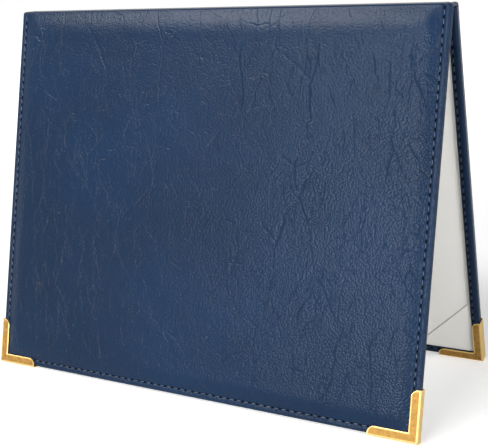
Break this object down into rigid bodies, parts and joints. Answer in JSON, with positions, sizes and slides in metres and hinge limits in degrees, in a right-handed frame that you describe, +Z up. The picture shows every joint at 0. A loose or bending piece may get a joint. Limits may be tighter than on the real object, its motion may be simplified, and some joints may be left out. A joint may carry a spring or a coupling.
{
  "type": "diploma cover",
  "caption": "Padded certificate cover standing as a tent, with stitched leatherette, brass corners, white lining and corner pockets.",
  "frame": {"origin": "centre of the footprint, on the surface that the tent stands on", "axes": "+Z up, X along the spine, -Y towards the front cover, which is seen from the front; +X is its right"},
  "size_m": [0.2934, 0.1294, 0.2275],
  "materials": {
    "leatherette": "satin",
    "foam": "matte",
    "greyboard": "matte",
    "lining": "matte",
    "thread": "satin",
    "brass_corner": "satin"
  },
  "bodies": {
    "spine": {"spine_leatherette": "leatherette", "spine_hinge_strip": "leatherette", "spine_seam_thread_left": "thread", "spine_seam_thread_right": "thread", "spine_bobbin_thread_left": "thread", "spine_bobbin_thread_right": "thread"},
    "front_cover": {"front_leatherette": "leatherette", "front_foam_pad": "foam", "front_board": "greyboard", "front_lining": "lining", "front_seam_thread": "thread", "front_bobbin_thread": "thread", "front_corner_left": "brass_corner", "front_corner_right": "brass_corner"},
    "back_cover": {"back_leatherette": "leatherette", "back_foam_pad": "foam", "back_board": "greyboard", "back_lining": "lining", "back_seam_thread": "thread", "back_bobbin_thread": "thread", "back_corner_left": "brass_corner", "back_corner_right": "brass_corner", "back_pocket_top_left": "lining", "back_pocket_top_right": "lining", "back_pocket_bottom_left": "lining", "back_pocket_bottom_right": "lining"}
  },
  "joints": [
    {"name": "front_crease", "type": "hinge", "parent": "spine", "child": "front_cover", "pos_m": [0, -0.00605, 0.22742], "axis": [-1, 0, 0], "range_deg": [-14.4, 75.6]},
    {"name": "back_crease", "type": "hinge", "parent": "spine", "child": "back_cover", "pos_m": [0, 0.00605, 0.22742], "axis": [1, 0, 0], "range_deg": [-14.4, 75.6]}
  ],
  "couplings": [
    {"joint": "back_crease", "follows": "front_crease", "ratio": 1}
  ]
}
